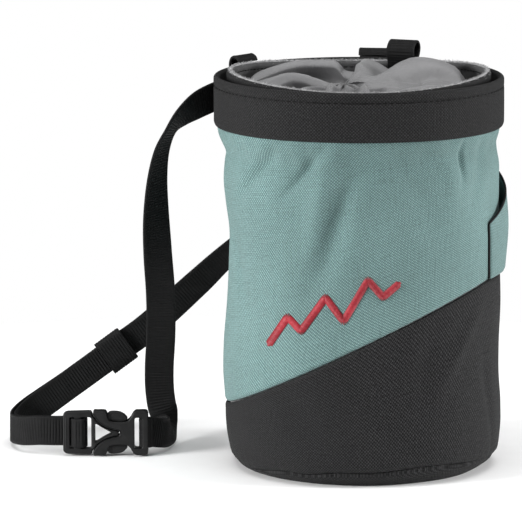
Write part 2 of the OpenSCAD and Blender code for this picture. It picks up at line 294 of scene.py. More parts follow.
def ring_lining():
    """The ring casing's inside: the mouth's nylon made darker, as painted shade on the ring's inner
    wall.
    """
    paint = Paint("ring_lining", sheen_weight=0.05, sheen_roughness=0.4, specular_ior_level=0.3)
    where, u, v = paint.cloth_xy()
    height, _ = plain_weave(paint, u, v, 0.00045)
    clouds = paint.noise(where, 60.0, 3, 0.6)
    # Painted shade: about a third as bright as the mouth's nylon.
    colour = paint.ramp(clouds, [(0.3, (0.036, 0.036, 0.037)), (0.7, (0.060, 0.060, 0.061))])
    normal = paint.bump(height, 0.00006)
    normal = paint.bump(clouds, 0.0005, 0.5, normal)
    return paint.finish(colour, paint.between(clouds, 0.5, 0.65), normal)


def fleece():
    paint = Paint("fleece", sheen_weight=0.5, sheen_roughness=0.6, specular_ior_level=0.2)
    where, _, _ = paint.cloth_xy()
    pile = paint.noise(where, 1300.0, 4, 0.7)
    tufts = paint.noise(where, 320.0, 3, 0.6)
    both = paint.math("ADD", pile, tufts)
    colour = paint.ramp(both, [(0.3, (0.24, 0.24, 0.245)), (0.75, (0.52, 0.52, 0.53))])
    return paint.finish(colour, paint.between(tufts, 0.85, 1.0), paint.bump(both, 0.0006))


def pile():
    paint = Paint("pile", sheen_weight=0.15, sheen_roughness=0.6, specular_ior_level=0.2)
    where = paint.place()
    change = paint.noise(where, 900.0, 2)
    colour = paint.ramp(change, [(0.3, (0.17, 0.17, 0.173)), (0.7, (0.36, 0.36, 0.365))])
    return paint.finish(colour, paint.between(change, 0.8, 1.0))


def black_webbing():
    """Ribbed nylon webbing: yarns along it, and a weft thread under each rib."""
    paint = Paint("black_webbing", sheen_weight=0.0, sheen_roughness=0.35,
                  specular_ior_level=0.16)
    where, u, v = paint.cloth_xy()
    height, _ = plain_weave(paint, u, v, 0.00052)
    yarns = paint.noise(where, 1.0, 2, 0.6, (2600, 90, 1))
    colour = paint.ramp(yarns, [(0.3, (0.0016, 0.0016, 0.0017)), (0.75, (0.0072, 0.0072, 0.0075))])
    normal = paint.bump(height, 0.00012)
    normal = paint.bump(yarns, 0.0001, 1.0, normal)
    return paint.finish(colour, paint.between(yarns, 0.5, 0.68), normal)


def thread(name, dark, light, shine):
    """Twisted sewing thread."""
    paint = Paint(name, sheen_weight=0.4 * shine, sheen_roughness=0.3, specular_ior_level=shine)
    where = paint.place()
    twist = paint.noise(where, 2600.0, 2, 0.5)
    slow = paint.noise(where, 90.0, 2, 0.5)
    colour = paint.ramp(paint.math("MULTIPLY", paint.math("ADD", twist, slow), 0.5),
                        [(0.35, dark), (0.65, light)])
    return paint.finish(colour, paint.between(twist, 0.34, 0.5), paint.bump(twist, 0.0001))


def black_plastic():
    """Moulded acetal: a fine spark-eroded grain, and rubbed patches spread at random that change its
    tone and roughness.
    """
    paint = Paint("black_plastic", specular_ior_level=0.24)
    where = paint.place()
    grain = paint.noise(where, 3200.0, 2, 0.6)
    rubbed = paint.noise(where, 140.0, 3, 0.6)
    colour = paint.ramp(rubbed, [(0.3, (0.0045, 0.0045, 0.0047)), (0.8, (0.010, 0.010, 0.0103))])
    return paint.finish(colour, paint.between(rubbed, 0.36, 0.5), paint.bump(grain, 0.00005))


def board():
    paint = Paint("board", specular_ior_level=0.4)
    where = paint.place()
    fibre = paint.noise(where, 500.0, 3, 0.6, (1, 1, 6))
    colour = paint.ramp(fibre, [(0.3, (0.05, 0.05, 0.05)), (0.7, (0.1, 0.1, 0.1))])
    return paint.finish(colour, paint.between(fibre, 0.5, 0.7), paint.bump(fibre, 0.0001))


def studio_floor():
    paint = Paint("studio_floor", specular_ior_level=0.1)
    where = paint.place()
    tooth = paint.noise(where, 60.0, 2)
    colour = paint.ramp(tooth, [(0.3, (0.86, 0.86, 0.86)), (0.7, (0.88, 0.88, 0.88))])
    return paint.finish(colour, paint.between(tooth, 0.85, 0.95))


# ---------------------------------------------------------------- mesh making

def smooth(points, steps):
    """A rounded line through the points, with this many steps between each pair."""
    points = np.asarray(points, float)
    last = len(points) - 1
    line = []
    for i in range(last):
        a = points[max(i - 1, 0)]
        b = points[i]
        c = points[i + 1]
        d = points[min(i + 2, last)]
        for k in range(steps):
            t = k / steps
            line.append(b + t * (c - a) / 2 + t * t * (2 * a - 5 * b + 4 * c - d) / 2
                        + t ** 3 * (3 * b - a - 3 * c + d) / 2)
    line.append(points[last])
    return np.array(line)


def even(line, step):
    """The same line with its points a step apart, and how far along each one is."""
    line = np.asarray(line, float)
    gone = np.concatenate([[0], np.cumsum(np.linalg.norm(np.diff(line[:, :3], axis=0), axis=1))])
    count = max(2, int(round(gone[-1] / step)) + 1)
    along = np.linspace(0, gone[-1], count)
    return np.stack([np.interp(along, gone, column) for column in line.T], 1), along


def unit(vectors):
    return vectors / np.linalg.norm(vectors, axis=-1, keepdims=True)


def wave(x, table):
    """A smooth value from a short table of (place, value) pairs."""
    places = np.array([p for p, _ in table], float)
    values = np.array([q for _, q in table], float)
    slopes = np.gradient(values, places)
    x = np.clip(x, places[0], places[-1])
    i = np.clip(np.searchsorted(places, x) - 1, 0, len(places) - 2)
    gap = places[i + 1] - places[i]
    t = (x - places[i]) / gap
    return ((2 * t ** 3 - 3 * t ** 2 + 1) * values[i] + (t ** 3 - 2 * t ** 2 + t) * gap * slopes[i]
            + (3 * t ** 2 - 2 * t ** 3) * values[i + 1] + (t ** 3 - t ** 2) * gap * slopes[i + 1])


def link(name, mesh, material):
    piece = bpy.data.objects.new(name, mesh)
    bpy.context.scene.collection.objects.link(piece)
    mesh.polygons.foreach_set("use_smooth", [True] * len(mesh.polygons))
    for one in material if isinstance(material, (list, tuple)) else [material]:
        mesh.materials.append(one)
    return piece


def grid(name, points, lengths, material, ring=False, tube=False, capped=False):
    """A cloth surface through rows of points. ring closes each row, tube joins the last row to
    the first, and capped closes a strip's two ends. lengths holds the distances along the cloth,
    which become its map."""
    rows, columns = points.shape[:2]
    down = rows if tube else rows - 1
    right = columns if ring else columns - 1
    i, j = np.meshgrid(np.arange(down), np.arange(right), indexing="ij")
    next_i = (i + 1) % rows
    next_j = (j + 1) % columns
    faces = np.stack([i * columns + j, i * columns + next_j, next_i * columns + next_j,
                      next_i * columns + j], -1).reshape(-1, 4)
    corners = np.stack([lengths[i, j], lengths[i, j + 1], lengths[i + 1, j + 1],
                        lengths[i + 1, j]], -2).reshape(-1, 2)
    places = points.reshape(-1, 3)
    faces = faces.tolist()
    if capped:
        k = np.arange(columns)
        after = (k + 1) % columns
        for row, flip in ((0, False), (rows - 1, True)):
            start = row * columns
            middle = np.full(columns, len(places))
            places = np.concatenate([places, points[row].mean(0)[None]])
            rim = [start + k, start + after] if flip else [start + after, start + k]
            faces += np.stack([*rim, middle], -1).tolist()
            corners = np.concatenate([corners, np.repeat(lengths[row, k], 3, 0)])
    mesh = bpy.data.meshes.new(name)
    mesh.from_pydata((places * MM).tolist(), [], faces)
    layer = mesh.uv_layers.new(name="cloth")
    layer.data.foreach_set("uv", (corners.reshape(-1) * MM).astype(np.float32))
    return link(name, mesh, material)


def lengths_of(points, ring, tube):
    """Distances along each way of a grid, measured on its middle lines."""
    if ring:
        points = np.concatenate([points, points[:, :1]], 1)
    if tube:
        points = np.concatenate([points, points[:1]], 0)
    across = np.linalg.norm(np.diff(points, axis=1), axis=2).mean(0)
    down = np.linalg.norm(np.diff(points, axis=0), axis=2).mean(1)
    u = np.concatenate([[0], np.cumsum(across)])
    v = np.concatenate([[0], np.cumsum(down)])
    return np.stack(np.meshgrid(u, v), -1)


def cloth(name, points, material, ring=False, tube=False, capped=False):
    return grid(name, points, lengths_of(points, ring, tube), material, ring, tube, capped)


def thicken(piece, thickness, side=-1):
    made = piece.modifiers.new("thickness", "SOLIDIFY")
    made.thickness = thickness * MM
    made.offset = side
    return piece


def strap_section(width, thickness):
    """Corners of flat webbing with rounded edges: across, through, and the share of the rib."""
    half = width / 2
    ease = thickness / 2
    face = np.linspace(-half + ease, half - ease, 9)
    rib = np.clip((half - ease - np.abs(face)) / 0.7, 0, 1)
    edge = np.radians([-60, -20, 20, 60])
    front = np.stack([face, np.full(9, ease), rib], 1)
    right = np.stack([half - ease + ease * np.cos(edge), -ease * np.sin(edge), 0 * edge], 1)
    return np.concatenate([front, right, front[::-1] * [1, -1, 1],
                           right[::-1] * [-1, 1, 1]])


def strap_line(route):
    """Close stations along a strap's route, a fifth of a rib apart, and how far along each is."""
    return even(smooth(route, 12), RIB_PITCH / 5)


def webbing(name, route, material):
    """Webbing along a route of stations (x, y, z and the direction across), with woven ribs."""
    line, along = strap_line(route)
    middle = line[:, :3]
    ahead = unit(np.gradient(middle, axis=0))
    across = line[:, 3:]
    across = unit(across - (across * ahead).sum(1)[:, None] * ahead)
    face = np.cross(ahead, across)
    section = strap_section(web_w, web_t)
    depth = RIB_DEPTH * (0.5 - 0.5 * np.cos(2 * math.pi * along / RIB_PITCH))
    out = section[None, :, 1] - np.sign(section[None, :, 1]) * section[None, :, 2] * depth[:, None]
    points = (middle[:, None] + section[None, :, 0, None] * across[:, None]
              + out[..., None] * face[:, None])
    steps = np.linalg.norm(np.diff(section[:, :2], axis=0, append=section[:1, :2]), axis=1)
    round_u = np.concatenate([[0], np.cumsum(steps)])
    lengths = np.stack(np.meshgrid(round_u, along), -1)
    return grid(name, points, lengths, material, ring=True, capped=True)


def beads(name, starts, ends, radius, material, bend=None, sides=6):
    """Short threads from starts to ends, one closed shape each, all in one mesh. bend holds how
    far, and which way, the middle of each thread stands out."""
    starts = np.asarray(starts, float)
    ends = np.asarray(ends, float)
    bend = np.zeros_like(starts) if bend is None else np.asarray(bend, float)
    ahead = unit(ends - starts)
    helper = np.where(np.abs(ahead[:, 2:]) > 0.9, [[1.0, 0, 0]], [[0, 0, 1.0]])
    first = unit(np.cross(ahead, helper))
    second = np.cross(ahead, first)
    shares = np.array([0.0, 0.06, 0.22, 0.5, 0.78, 0.94, 1.0])
    fat = np.array([0.25, 0.72, 1.0, 1.0, 1.0, 0.72, 0.25])
    turn = np.arange(sides) * 2 * math.pi / sides
    centre = (starts[:, None] + shares[None, :, None] * (ends - starts)[:, None]
              + np.sin(math.pi * shares)[None, :, None] * bend[:, None])
    ring = (np.cos(turn)[:, None, None] * first + np.sin(turn)[:, None, None] * second)
    ring = ring.transpose(1, 0, 2)
    points = centre[:, :, None] + radius * fat[None, :, None, None] * ring[:, None]
    rows = len(shares)
    each = rows * sides
    faces = []
    for row in range(rows - 1):
        for k in range(sides):
            a = row * sides + k
            b = row * sides + (k + 1) % sides
            faces.append((a, b, b + sides, a + sides))
    ends_of = [tuple(range(sides))[::-1], tuple(range(each - sides, each))]
    all_faces = []
    for n in range(len(starts)):
        all_faces += [tuple(x + n * each for x in f) for f in faces]
        all_faces += [tuple(x + n * each for x in f) for f in ends_of]
    mesh = bpy.data.meshes.new(name)
    mesh.from_pydata((points.reshape(-1, 3) * MM).tolist(), [], all_faces)
    return link(name, mesh, material)


def stitch_line(name, line, out, length, gap, radius, material):
    """A row of running stitches along a line. out is how far their middles stand up, and where."""
    dense, along = even(np.concatenate([line, out], 1), 0.2)
    starts = np.arange(0.2, along[-1] - length, length + gap)

    def at(far):
        return np.stack([np.interp(far, along, c) for c in dense.T], 1)

    a = at(starts)
    b = at(starts + length)
    return beads(name, a[:, :3], b[:, :3], radius, material, bend=(a + b)[:, 3:] / 2)


def finish_piece(piece, body, slot, *nodes):
    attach(piece, body)
    if nodes:
        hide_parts(*nodes)
    return piece


# ---------------------------------------------------------------- the belt

SOCKET_ROUTE = [
    [-63.8, 36.6, 184, 0, 0, 1], [-68, 29.4, 183.5, 0, 0, 1], [-74, 21, 182.2, -0.05, -0.05, 1],
    [-81, 14, 179.5, -0.2, -0.35, 1], [-88, 10, 174.6, -0.25, -0.8, 0.75],
    [-94, 9, 167.5, -0.25, -0.95, 0.3], [-98.5, 10.5, 157.5, -0.4, -0.9, 0.25],
    [-101, 14, 143, -0.6, -0.8, 0.15], [-101.8, 20, 124, -0.8, -0.55, 0],
    [-101.2, 29, 102, -0.95, -0.3, 0], [-100, 37, 80, -1, -0.1, 0], [-100, 45, 58, -1, 0, 0],
    [-101, 51, 40, -1, 0, 0], [-101, 54, 28, -1, 0, 0.07], [-99.8, 54.5, 18, -0.95, 0, 0.31],
    [-97.3, 52, 11.5, -0.74, 0, 0.67], [-95.5, 46, 8.6, -0.41, 0, 0.91],
    [-95.3, 38, 8.4, -0.14, 0, 1], [-96.5, 29, 9, 0, 0, 1], [-99.5, 21, 10.4, 0, 0, 1],
    [-103.8, 16.2, 11.8, 0, 0, 1]]
PLUG_ROUTE = [
    [-153.2, 18.7, 12, 0, 0, 1], [-162, 19.5, 12, 0, 0, 1], [-170, 24, 11, 0, 0, 1],
    [-175, 33, 10, 0, 0, 1], [-177, 45, 9.2, 0, 0, 1], [-175, 57, 9.7, -0.1, 0, 1],
    [-167, 66, 14, -0.3, 0, 1], [-152, 70.5, 23.4, -0.5, 0, 1], [-141.7, 72.6, 30.4, -0.55, 0, 1],
    [-124, 76, 43, -0.55, 0, 1], [-106.3, 79.4, 55.6, -0.55, 0, 1],
    [-82, 84, 77, -0.7, -0.3, 1], [-64, 88, 93, -0.65, -0.7, 1],
    [-36, 92, 114, -0.6, -0.7, 1], [-6, 96, 137, -0.6, -0.3, 1], [20, 97, 157, -0.45, 0, 1],
    [39, 92, 171, -0.3, 0, 1], [49, 81, 180, -0.1, 0, 1], [47, 69, 183.5, 0, 0, 1],
    [39, 64, 184, 0, 0, 1], [31, 66.7, 184, 0, 0, 1], [24.1, 69.5, 184, 0, 0, 1]]
TAIL_ROUTE = [
    [-153.2, 20.5, 12, 0, 0, 1], [-161.6, 21.3, 12, 0, 0, 1], [-168.8, 25.4, 11, 0, 0, 1],
    [-173.2, 33.7, 10, 0, 0, 1], [-175, 44.9, 9.2, 0, 0, 1], [-172.8, 56, 9.7, -0.1, 0, 1],
    [-165.7, 63.9, 14, -0.3, 0, 1], [-149.5, 69, 25.3, -0.5, 0, 1],
    [-128, 73.4, 40.3, -0.55, 0, 1]]
LOOP_AT = (141, 83)
KEEPER_AT = np.array([-124.0, 76.0, 43.0])
KEEPER_ALONG = unit(np.array([26.0, 5.0, 18.5]))


def upright(direction, line):
    """Stations of a strip bent in the upright plane that points away from the bag's axis."""
    turn = math.radians(direction)
    across = [-math.sin(turn), math.cos(turn), 0]
    return [[r * math.cos(turn), r * math.sin(turn), z, *across] for r, z in line]


def at_buckle(line):
    """Stations of a strap beside the buckle, from (along the belt, behind its middle) pairs."""
    x0, y0, z0 = BUCKLE
    return [[x0 + x, y0 + y, z0, 0, 0, 1] for x, y in line]


def make_belt(weave):
    socket_side = webbing("socket_side_webbing", SOCKET_ROUTE, weave)
    plug_side = webbing("plug_side_webbing", PLUG_ROUTE, weave)
    tail = webbing("tail_webbing", TAIL_ROUTE, weave)
    finish_piece(socket_side, "bag", "black_webbing", "belt_socket_half")
    for piece, node in ((plug_side, "belt_plug_half"), (tail, "belt_tail")):
        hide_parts(node)
        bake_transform(piece)
    return socket_side, plug_side, tail


def make_short_straps(weave):
    socket_wrap = webbing("socket_wrap_webbing", at_buckle(
        [[24.2, -0.9], [22.4, -2.7], [19.6, -2.8], [18.1, -1.7], [18, 0], [18.1, 1.7],
         [19.6, 2.8], [22.4, 2.7], [24.2, 0.9]]), weave)
    finish_piece(socket_wrap, "bag", "black_webbing", "socket_strap_wrap")
    plug_wrap = webbing("plug_wrap_webbing", at_buckle(
        [[-25.2, 3.2], [-20, 3.4], [-18, 3.2], [-17.1, 1.7], [-16.9, -1], [-15.6, -2.9],
         [-13.6, -3.3], [-11, -3.1], [-9.7, -1], [-9.6, 1.6], [-10.9, 4.2], [-13.6, 5.1],
         [-20, 5.2], [-25.2, 5]]), weave)
    finish_piece(plug_wrap, "plug", "black_webbing", "plug_strap_wrap")
    r = rim_r + web_t / 2
    for name, node, direction in (("left_loop_webbing", "belt_loop_left", LOOP_AT[0]),
                                  ("right_loop_webbing", "belt_loop_right", LOOP_AT[1])):
        loop = webbing(name, upright(direction, [
            [r - 2, 197.8], [r - 1, 199.6], [r + 1.6, 200.6], [r + 3.8, 198.6], [r + 4.3, 193],
            [r + 4.3, 180.5], [r + 3.2, 175], [r + 0.15, 171.1], [r - 1.4, 168.1]]), weave)
        finish_piece(loop, "bag", "black_webbing", node)
    inside = 60.8
    pull = webbing("pull_loop_webbing", upright(68, [
        [inside, 190], [inside, 196], [inside - 1.4, 200.2], [inside - 0.9, 203.7],
        [inside + 2.3, 206.3], [inside + 5.9, 206.1], [inside + 7.8, 203.3],
        [inside + 6.9, 200], [inside + 4.3, 197.35]]), weave)
    finish_piece(pull, "twist_ring", "black_webbing", "pull_loop")
    web_r = rim_r + 0.3 + web_t / 2
    back = [[web_r * math.cos(math.radians(a)), web_r * math.sin(math.radians(a)), 184, 0, 0, 1]
            for a in np.linspace(71, 150, 14)]
    back_run = webbing("back_run_webbing", back, weave)
    finish_piece(back_run, "bag", "black_webbing", "belt_back_run")
    return socket_wrap, plug_wrap


def make_keeper(weave):
    """Elastic loop that holds the belt and its tail together."""
    across = np.array([-0.55, 0, 1.0])
    across = unit(across - (across @ KEEPER_ALONG) * KEEPER_ALONG)
    face = np.cross(KEEPER_ALONG, across)
    middle = KEEPER_AT - 0.9 * np.array([-0.19, 0.98, 0.05])
    half_w = 9.3
    half_t = 3.3
    wall = 0.9
    turn = np.radians(np.arange(0, 360, 4))
    power = 0.42
    round_x = np.sign(np.cos(turn)) * np.abs(np.cos(turn)) ** power
    round_y = np.sign(np.sin(turn)) * np.abs(np.sin(turn)) ** power
    along = np.arange(-7.4, 7.41, 0.275)
    rib = 0.09 * np.cos(2 * math.pi * along / RIB_PITCH)
    rows = [(a, b) for a, b in zip(along, rib)]
    rows += [(7.5, -wall / 2), (7.4, -wall)]
    rows += [(a, -wall) for a in along[::-4]]
    rows += [(-7.4, -wall), (-7.5, -wall / 2)]
    points = np.array([[middle + far * KEEPER_ALONG + (half_w + out) * x * across
                        + (half_t + out) * y * face for x, y in zip(round_x, round_y)]
                       for far, out in rows])
    piece = cloth("keeper_elastic", points, weave, ring=True, tube=True)
    return finish_piece(piece, "keeper", "black_webbing", "strap_keeper")


# ---------------------------------------------------------------- the buckle

SOCKET_V = [[7.6, 0], [7.3, 1.1], [6.2, 1.75], [4.4, 2.1], [0.4, 3.4], [-2, 4.9], [-3.8, 6.5],
            [-5.2, 8.4], [-6, 9.8]]
SOCKET_EDGE = [[-6, 10.4], [-5.4, 11.2], [-4.2, 11.3], [-0.8, 11.3], [0.5, 10.9], [1.2, 9.7],
               [1.7, 7.6], [2.6, 6.5], [4.4, 5.9], [8, 5.7], [11, 6.1], [12.5, 7.1], [13.5, 8.5],
               [14.5, 10.2], [15.8, 11.2], [17.5, 11.3], [20.5, 11.3], [21.6, 10.7], [22, 9.5],
               [22, 6]]
PLUG_V = [[7.15, 0], [6.9, 0.9], [6, 1.35], [4.3, 1.7], [0.2, 3], [-2.3, 4.5], [-4.1, 6.1],
          [-5.5, 8], [-6.3, 9.4]]


# Edges of the mouldings that turn by more degrees than this are shown sharp
SHARP_FROM = 35


def mirrored(half):
    """A closed outline from its upper half."""
    half = np.asarray(half, float)
    lower = half[::-1] * [1, -1]
    keep = np.abs(lower[:, 1]) > 1e-6
    return np.concatenate([half, lower[keep]])


def rounded_box(x0, x1, y0, y1, r):
    corners = [(x1 - r, y1 - r, 0), (x0 + r, y1 - r, 90), (x0 + r, y0 + r, 180),
               (x1 - r, y0 + r, 270)]
    return np.array([[cx + r * math.cos(math.radians(a)), cy + r * math.sin(math.radians(a))]
                     for cx, cy, start in corners for a in range(start, start + 91, 15)])


def moulding(outlines, z0, z1, bevel):
    """One moulded slab: the first outline is its edge and the rest are holes. Flat x and y are
    along and across the belt, and z points to the front."""
    data = bpy.data.curves.new("moulding", "CURVE")
    data.dimensions = "2D"
    data.fill_mode = "BOTH"
    data.bevel_depth = bevel * MM
    data.bevel_resolution = 3
    data.extrude = ((z1 - z0) / 2 - bevel) * MM
    data.offset = -bevel * MM
    for outline in outlines:
        spline = data.splines.new("POLY")
        spline.points.add(len(outline) - 1)
        spline.use_cyclic_u = True
        for point, (x, y) in zip(spline.points, outline):
            point.co = (x * MM, y * MM, 0, 1)
    holder = bpy.data.objects.new("moulding", data)
    bpy.context.scene.collection.objects.link(holder)
    bpy.context.view_layer.update()
    graph = bpy.context.evaluated_depsgraph_get()
    mesh = bpy.data.meshes.new_from_object(holder.evaluated_get(graph))
    bpy.data.objects.remove(holder)
    place = np.zeros(len(mesh.vertices) * 3)
    mesh.vertices.foreach_get("co", place)
    place = place.reshape(-1, 3)
    lift = (z0 + z1) / 2 * MM
    stood = np.stack([place[:, 0], -(place[:, 2] + lift), place[:, 1]], 1) + BUCKLE * MM
    mesh.vertices.foreach_set("co", stood.reshape(-1))
    return mesh


def bead_line(line, radius, z):
    """A thin raised moulding along a flat line."""
    line, _ = even(smooth(line, 4), 0.4)
    ahead = unit(np.gradient(line, axis=0))
    side = np.stack([-ahead[:, 1], ahead[:, 0]], 1)
    turn = np.radians(np.arange(0, 360, 45))
    flat = line[:, None] + radius * np.cos(turn)[None, :, None] * side[:, None]
    high = z + radius * np.sin(turn)
    points = np.stack([flat[..., 0], -np.broadcast_to(high, flat.shape[:2]), flat[..., 1]], -1)
    points = points + BUCKLE
    rows, columns = points.shape[:2]
    faces = [(i * columns + j, i * columns + (j + 1) % columns,
              (i + 1) * columns + (j + 1) % columns, (i + 1) * columns + j)
             for i in range(rows - 1) for j in range(columns)]
    faces += [tuple(range(columns))[::-1], tuple(range((rows - 1) * columns, rows * columns))]
    mesh = bpy.data.meshes.new("bead")
    mesh.from_pydata((points.reshape(-1, 3) * MM).tolist(), [], faces)
    return mesh


def join(name, meshes, material):
    """One piece from several meshes, smooth but for its sharp edges."""
    work = bmesh.new()
    for mesh in meshes:
        work.from_mesh(mesh)
    bmesh.ops.remove_doubles(work, verts=work.verts, dist=1e-6)
    bmesh.ops.recalc_face_normals(work, faces=work.faces)
    made = bpy.data.meshes.new(name)
    work.to_mesh(made)
    work.free()
    for mesh in meshes:
        bpy.data.meshes.remove(mesh)
    made.materials.clear()
    piece = link(name, made, material)
    made.set_sharp_from_angle(angle=math.radians(SHARP_FROM))
    return piece


def make_socket(plastic):
    edge = smooth(SOCKET_EDGE, 4)
    notch = smooth(SOCKET_V, 4)
    outline = mirrored(np.concatenate([notch, edge]))
    slot = rounded_box(15, 19.2, -8, 8, 1.2)
    block = rounded_box(8.2, 14.2, -3, 3, 0.8)
    wing = np.array([[-6, 10.1], [-5.4, 11.1], [-4.2, 11.25], [-0.8, 11.25], [0.5, 10.7],
                     [0.4, 10.1]])
    frame_end = mirrored(smooth([[13.2, 0], [13.2, 7.6], [14.3, 9.8], [15.8, 11.1], [17.5, 11.25],
                                 [20.5, 11.25], [21.6, 10.6], [21.9, 9.4], [21.9, 0]], 3))
    parts = [moulding([outline, slot], 2.3, 3.8, 0.45),
             moulding([outline, slot], -3.8, -2.3, 0.45),
             moulding([frame_end, slot], -3.2, 3.2, 0.6),
             moulding([block], -3.4, 3.4, 0.5),
             moulding([wing], -3.5, 3.5, 0.35),
             moulding([wing * [1, -1]], -3.5, 3.5, 0.35)]
    lip = [[-5.9, 9.5], *SOCKET_V[:0:-1], [7.6, 0]]
    lip = [[x + 0.35, y + 0.2] for x, y in lip[:-1]] + [[8.0, 0]]
    whole = lip + [[x, -y] for x, y in lip[-2::-1]]
    parts.append(bead_line(whole, 0.3, 3.8))
    piece = join("socket_body", parts, plastic)
    return finish_piece(piece, "bag", "black_plastic", "buckle_socket")


def make_plug(plastic):
    edge = [[-21.2, 0], [-21.2, 8], [-20.7, 9.8], [-19.2, 10.7], [-16, 10.9], [-8.5, 11.1],
            [-7, 10.9], [-6.4, 10.2], [-6.3, 9]]
    body = mirrored(np.concatenate([smooth(edge[:-1], 3), smooth(edge[-2:], 1)[1:],
                                    [[-5.1, 5.6], [-5.1, 4]]]))
    slot_a = rounded_box(-17.8, -15.3, -8, 8, 0.7)
    slot_b = rounded_box(-12.3, -6.9, -8, 8, 1.0)
    guide = mirrored(smooth(PLUG_V, 4))
    window = np.array([[3.9, 0], [-1.2, 2.85], [-4.2, 4.7], [-4.9, 4.6], [-4.9, -4.6],
                       [-4.2, -4.7], [-1.2, -2.85]])
    ladder = rounded_box(-15.5, -12.1, -8.4, 8.4, 0.5)
    parts = [moulding([body, slot_a, slot_b], -2.5, 2.5, 0.55),
             moulding([guide, window], -3.3, 3.3, 0.45),
             moulding([ladder], -1.2, 1.2, 0.4)]
    parts.append(bead_line([[-19.6, -8], [-19.7, 0], [-19.6, 8]], 0.35, 2.4))
    piece = join("plug_frame", parts, plastic)
    return finish_piece(piece, "plug", "black_plastic", "buckle_plug")


def make_latch(plastic, name, body, node, side):
    arm = smooth([[-5, 7], [-1, 7.05], [1, 6.7], [2.6, 6], [4.5, 5.5], [9, 5.6], [10.9, 6.5],
                  [11.5, 7.3], [10.9, 8.4], [9.2, 9.9], [7, 10.7], [4.5, 10.9], [2.6, 10.7],
                  [1.5, 9.9], [0.6, 8.8], [-1, 8.5], [-5, 8.6]], 4) * [1, side]
    pad = smooth([[3, 7.2], [4.2, 6.6], [8.8, 6.7], [9.8, 7.5], [8.4, 8.9], [6.6, 9.7],
                  [4.4, 9.8], [3.2, 8.8]], 4) * [1, side]
    parts = [moulding([arm], -2, 2, 0.5), moulding([pad], -2.2, 2.2, 0.3)]
    return finish_piece(join(name, parts, plastic), body, "black_plastic", node)


# ---------------------------------------------------------------- the bag's outline

# Half the bag's width and the sideways place of its middle, by height
HALF_WIDTH = [(0, 64.5), (7, 67), (17, 68.7), (32, 69.2), (47, 69.2), (62, 69), (83, 68.5),
              (108, 67.7), (118, 67.6), (134, 68.4), (144, 68.85), (154, 68.5), (159, 67.75),
              (164, 68.5), (168, 69.8), (174, 70.9), (182, 71)]
LEAN = [(0, 2.2), (7, 2.7), (17, 2.4), (32, 1.95), (47, 0.95), (62, 1.2), (83, 2.7),
        (108, 3.2), (118, 3.3), (134, 2.1), (144, 1.55), (154, 1.7), (159, 1.45), (164, 0.2),
        (174, 0), (182, 0)]
# Height of the seam between the body and the base, by front angle
BASE_SEAM = [(-180, 6.4), (-140, 7.4), (-90, 4.6), (-60, 3.4), (-34, 6.1), (-27, 5.8),
             (-11, 7.9), (2, 7.9), (15, 9), (33, 9.8), (51, 8.4), (90, 6.2), (140, 7.6),
             (180, 6.4)]
# Soft folds of the cloth: front angle and height at the two ends, half width and depth in mm
FOLDS = [
    (-18, 166, -33, 146, 3.0, -1.3), (-13, 166, -22, 122, 6.5, 1.5), (-4, 158, -21, 104, 7.0, -1.7),
    (-36, 168, -58, 144, 3.4, -1.0), (-48, 166, -66, 140, 5.0, 0.6), (46, 168, 45, 153, 1.7, -1.3),
    (37, 166, 40, 140, 5.0, 0.6), (60, 166, 52, 140, 5.0, -0.6), (20, 160, 30, 120, 9.0, -0.6),
    (52, 82, 36, 52, 5.0, 0.9), (30, 76, 24, 44, 7.0, -0.7), (-40, 60, -20, 20, 9.0, -0.5),
    (0, 40, 22, 12, 6.0, -0.5), (62, 58, 70, 16, 4.0, -0.6), (-75, 120, -62, 92, 6.0, -0.7),
    (110, 164, 126, 128, 5.0, -1.4), (138, 166, 132, 120, 6.0, 1.0), (162, 166, 150, 110, 6.0, -1.5),
    (188, 164, 200, 118, 7.0, -1.2), (212, 166, 206, 130, 5.0, 0.9), (236, 164, 250, 124, 5.0, -1.2),
    (150, 70, 172, 24, 8.0, -0.8), (216, 80, 230, 30, 8.0, -0.8), (120, 70, 128, 20, 6.0, -0.7)]


def seam_height(x, y):
    """Height of the slanted seam between the two cloths."""
    return 64 + 0.485 * x - 0.097 * y


def fold_depth(front, z):
    """How far the soft folds move the cloth in or out."""
    total = np.zeros(np.broadcast(front, z).shape)
    for a0, z0, a1, z1, half, depth in FOLDS:
        share = np.clip((z - z0) / (z1 - z0), -0.6, 1.6)
        centre = a0 + (a1 - a0) * share
        away = (front - centre + 180) % 360 - 180
        slant = math.radians(a1 - a0) * body_r / (z1 - z0)
        distance = np.radians(away) * body_r / math.sqrt(1 + slant * slant)
        ends = np.clip(0.5 - np.abs(share - 0.5), -0.5, 0.5) + 0.5
        fade = ends * ends * (3 - 2 * ends)
        total = total + 1.9 * depth * fade * np.exp(-(distance / half) ** 2)
    return total


def surface(angle, z, out=0.0):
    """A point of the bag's outer cloth, moved out along its radius."""
    front = (angle + 90 + 180) % 360 - 180
    turn = np.radians(angle)
    gather = np.clip((z - 150) / 16, 0, 1) ** 2 * np.clip((176 - z) / 6, 0, 1)
    pucker = 0.22 * gather * np.cos(np.radians(37 * angle) + 2.1 * np.sin(3 * turn))
    slow = 0.35 * np.sin(3 * turn + 0.8 + z / 46) + 0.22 * np.sin(7 * turn + z / 21)
    slow = slow * np.clip((166 - z) / 20, 0, 1)
    r = wave(z, HALF_WIDTH) + fold_depth(front, z) + pucker + slow + out
    return np.stack(np.broadcast_arrays(wave(z, LEAN) + r * np.cos(turn), r * np.sin(turn), z), -1)


def seam_at(angle):
    """Height of the slanted seam on the cloth, by angle."""
    z = np.full(np.shape(angle), 64.0)
    for _ in range(5):
        place = surface(angle, z)
        z = seam_height(place[..., 0], place[..., 1])
    return z


def base_seam_at(angle):
    return wave((angle + 90 + 180) % 360 - 180, BASE_SEAM)


def rolled(distance, depth, width):
    """How far a sewn edge turns in, by distance from the seam."""
    return -depth * np.exp(-(distance / width) ** 2)


AROUND = np.arange(0, 360, 0.75)


